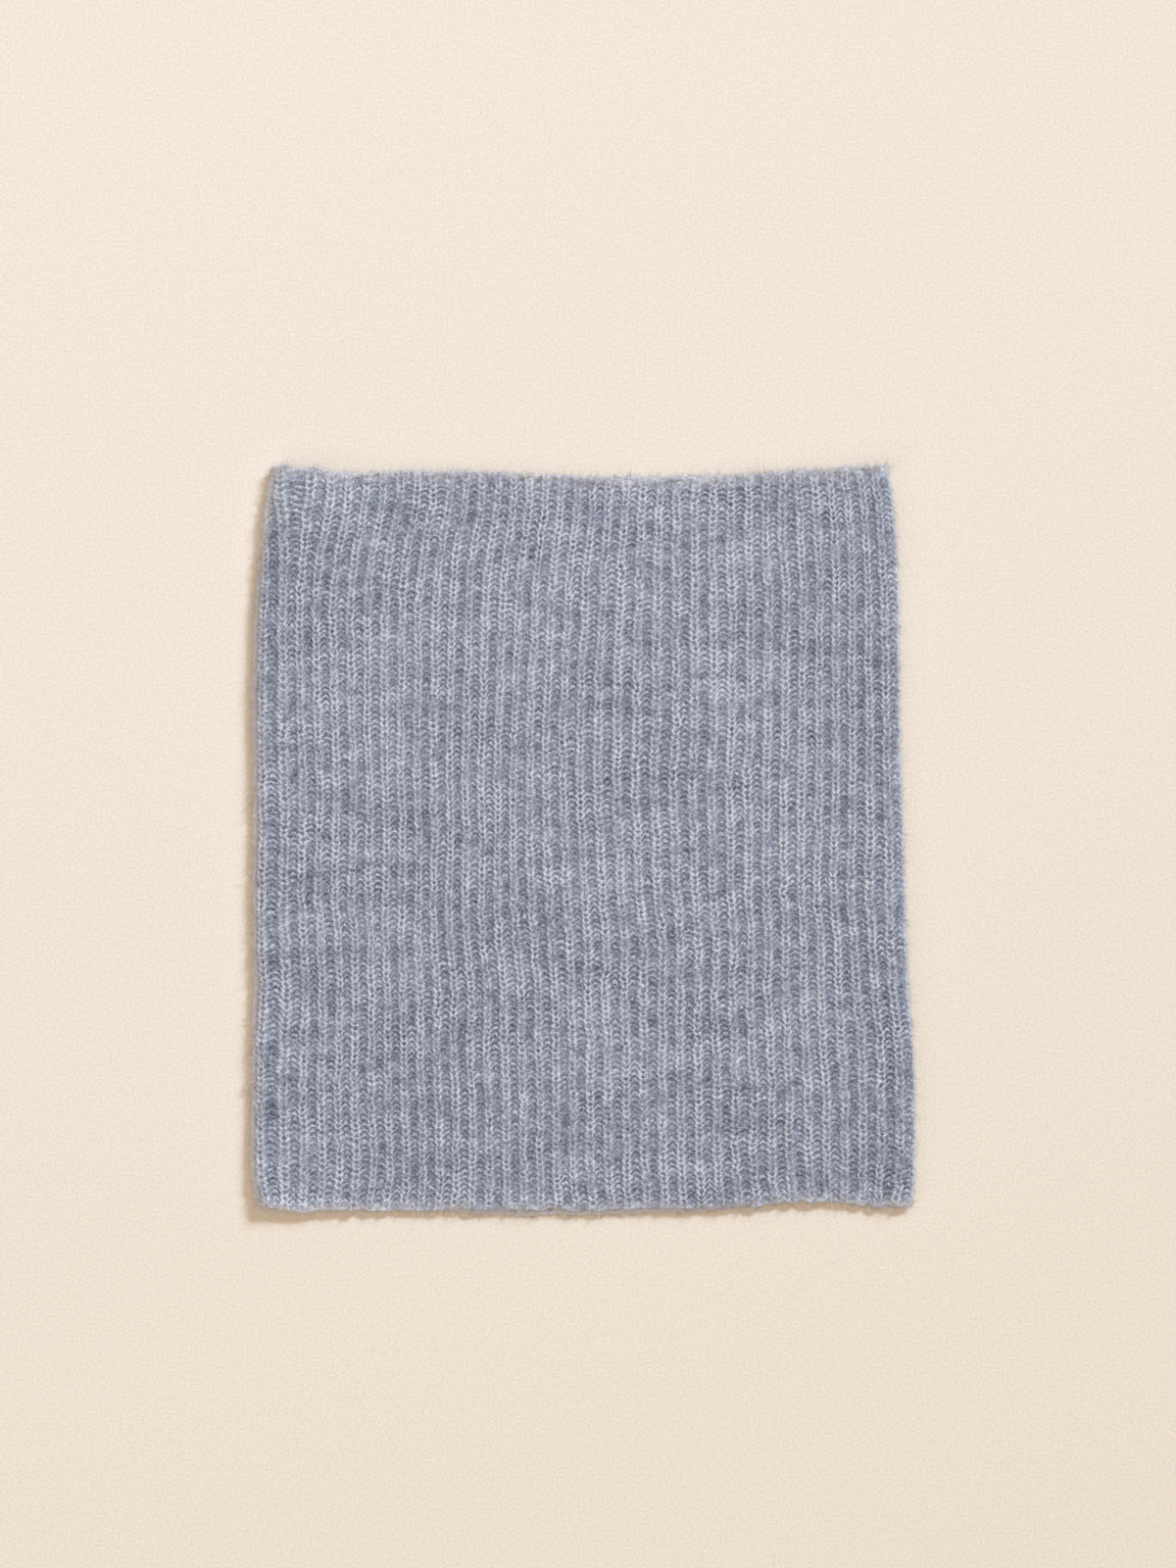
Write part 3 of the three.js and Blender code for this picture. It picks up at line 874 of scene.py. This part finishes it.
# painted warm light: the fibres round the folds and along the open edges are paler and warmer than the wool,
# standing in for warm light scattered through them
rimTones = {
    "shade": (0.260, 0.235, 0.235),
    "body": (0.760, 0.680, 0.650),
    "light": (0.950, 0.900, 0.870),
}


# Outer face points and outward directions at pairs of rib and course
def placesOn(rib, course):
    places = wallPoints(rib, course[None, :], outerOffset)[0]
    outX, outZ = (part[0] for part in wallMiddle(rib, np.full((1, len(rib)), 0.5))[3:])
    return places, np.stack([outX, 0 * outX, outZ], -1)


# Each grows along outwards * (1 - size of along) + the tube's direction * along + spread * a random way
def looseFibres(name, rib, course, along, paintedLightTone, rng):
    roots, outward = placesOn(rib, course)
    directions = outward * (1 - np.abs(along))[:, None] + np.array([0, 1, 0]) * along[:, None]
    directions = directions + fuzz["spread"] * rng.standard_normal((len(rib), 3))
    directions /= np.linalg.norm(directions, axis=1, keepdims=True)
    lengths = rng.uniform(*fuzz["length"], len(rib))
    return fibreMesh(name, roots - fuzz["rooted"] * outward, directions, lengths, paintedLightTone, rng)


print("stage: loose fibres")
looseWool = woolMaterial("loose_wool", surfaceTones, False)
rimWool = woolMaterial("rim_wool", rimTones, False)
rng = np.random.default_rng(seeds["fibres"])
count = fuzz["upper"]
surfaceRibs = rng.uniform(0, tube["ribsPerLayer"], count)
surfaceCourses = rng.uniform(0, tube["courses"], count)
count = fuzz["folds"]
atLeft = rng.random(count) < fuzz["leftShare"]
foldLine = np.where(atLeft, leftFold + fuzz["leftAside"], rightFold)
foldRibs = foldLine + rng.normal(0, fuzz["foldSpread"], count)
foldCourses = rng.uniform(0, tube["courses"], count)
# painted light on the left fold's fibres and painted shade on the right fold's
foldPaintedLight = np.where(atLeft, fuzz["leftPaintedLight"], -fuzz["rightPaintedShade"])
count = fuzz["edges"]
edgeRibs, atTop = rng.uniform(0, ribCount, count), rng.random(count) < 0.5
fromEdge = rng.uniform(0, fuzz["edgeDeep"], count)
edgeCourses = np.where(atTop, tube["courses"], 0) + np.where(atTop, -1, 1) * fromEdge
edgeLeans = np.where(atTop, fuzz["edgeLean"], -fuzz["edgeLean"])
# painted shade on the fibres along the upper open edge
edgePaintedShade = np.where(atTop, -fuzz["topPaintedShade"], 0)
for name, ribs, courses, along, paintedLightTone in (
    ("surface_fibres", surfaceRibs, surfaceCourses, np.zeros(len(surfaceRibs)), 0),
    ("fold_fibres", foldRibs, foldCourses, np.zeros(len(foldRibs)), foldPaintedLight),
    ("edge_fibres", edgeRibs, edgeCourses, edgeLeans, edgePaintedShade),
):
    piece = looseFibres(name, ribs, courses, along, paintedLightTone, rng)
    piece.data.materials.append(looseWool if name == "surface_fibres" else rimWool)
    knitPieces.append(piece)
    print("  ", name, len(piece.data.polygons), "triangles")

for piece in knitPieces:
    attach(piece, "root")
    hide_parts("ribbed_tube")

print("stage: floor, light and camera")
studio = {
    "photoPixel": 0.0004,
    "photoRows": 1600,
    "clothTop": 0.008,  # height at which a photo's pixel is photoPixel wide
    "floor": (0.878, 0.840, 0.815),
    "floorHalf": 2.5,
    "grain": 0.15,  # how much lighter or darker its grain is
    "grainContrast": 2.2,
    "paintedFalloffBottom": (0.910, 0.892, 0.840),
    "lens": 85.0,
    "sensor": 36.0,
    "lookAt": (0.0022, 0.0230),
    "world": (1.0, 0.785, 0.575),
    "worldStrength": 0.2,
}
frameHeight = studio["photoRows"] * studio["photoPixel"]

# The key light is a cool sun from the upper right. A warm panel overhead lights its shadows, and a cool one
# opposite to it keeps the shaded sides of the ribs from turning warm. The sun's size is in degrees, a
# panel's in metres.
lights = {
    "key": {"kind": "SUN", "azimuth": 50, "elevation": 42, "power": 2.42, "size": 8.0, "away": 0},
    "ceiling": {"kind": "AREA", "azimuth": 0, "elevation": 90, "power": 25.6, "size": 1.6, "away": 2.5},
    "bounce": {"kind": "AREA", "azimuth": 220, "elevation": 36, "power": 16, "size": 1.6, "away": 3.0},
}
lightColours = {"key": (0.777, 0.911, 1.0), "ceiling": (1.0, 0.713, 0.437), "bounce": (0.76, 0.88, 0.98)}


# Floor colour * (1 - grain to 1 + grain) * a painted falloff of light from paintedFalloffBottom at the
# picture's bottom to 1 at its top
def floorMaterial():
    n = Nodes("pale_floor")
    place = n.make("ShaderNodeTexCoord", output=3)
    fine = {"Vector": place, "Scale": 1000.0, "Detail": 3.0, "Roughness": 0.75}
    grain = ((n.make("ShaderNodeTexNoise", {}, fine) - 0.5) * studio["grainContrast"] + 0.5).clamped()
    darker = tuple((1 - studio["grain"]) * v for v in studio["floor"])
    lighter = tuple((1 + studio["grain"]) * v for v in studio["floor"])
    colour = n.mix(grain, darker, lighter)
    # painted falloff of light: the backdrop is a little darker and warmer towards the bottom of the picture
    paintedFalloff = (n.part(place, 1) / frameHeight + 0.5).clamped()
    colour = n.mix(paintedFalloff, studio["paintedFalloffBottom"], (1.0, 1.0, 1.0)).blended(colour)
    shader = n.make("ShaderNodeBsdfPrincipled", {}, {"Base Color": colour, "Roughness": 0.9})
    n.make("ShaderNodeOutputMaterial", {}, {"Surface": shader})
    return n.material


def makeFloor():
    half = studio["floorHalf"]
    corners = [(-half, -half, 0), (half, -half, 0), (half, half, 0), (-half, half, 0)]
    mesh = bpy.data.meshes.new("floor")
    mesh.from_pydata(corners, [], [(0, 1, 2, 3)])
    floor = bpy.data.objects.new("floor", mesh)
    floor.data.materials.append(floorMaterial())
    bpy.context.scene.collection.objects.link(floor)


# A light stands at away * (cos elevation cos azimuth, cos elevation sin azimuth, sin elevation)
def makeLights():
    for name, row in lights.items():
        light = bpy.data.lights.new(name, row["kind"])
        light.energy, light.color = row["power"], lightColours[name]
        if row["kind"] == "SUN":
            light.angle = math.radians(row["size"])
        else:
            light.size = row["size"]
        lamp = bpy.data.objects.new(name, light)
        azimuth, elevation = math.radians(row["azimuth"]), math.radians(row["elevation"])
        flat = row["away"] * math.cos(elevation)
        height = row["away"] * math.sin(elevation)
        lamp.rotation_euler = (0, math.pi / 2 - elevation, azimuth)
        lamp.location = (flat * math.cos(azimuth), flat * math.sin(azimuth), height)
        bpy.context.scene.collection.objects.link(lamp)
    world = bpy.data.worlds.new("room")
    world.use_nodes = True
    background = world.node_tree.nodes["Background"]
    background.inputs["Color"].default_value = (*studio["world"], 1)
    background.inputs["Strength"].default_value = studio["worldStrength"]
    bpy.context.scene.world = world
    bpy.context.scene.view_settings.view_transform = "Standard"


# Straight above, at frameHeight * lens / sensor + clothTop, so that the picture is frameHeight tall there
def makeCamera():
    camera = bpy.data.cameras.new("camera")
    camera.lens, camera.sensor_width = studio["lens"], studio["sensor"]
    away = frameHeight * studio["lens"] / studio["sensor"] + studio["clothTop"]
    eye = bpy.data.objects.new("camera", camera)
    eye.location = (*studio["lookAt"], away)
    bpy.context.scene.collection.objects.link(eye)
    bpy.context.scene.camera = eye


makeFloor()
makeLights()
makeCamera()
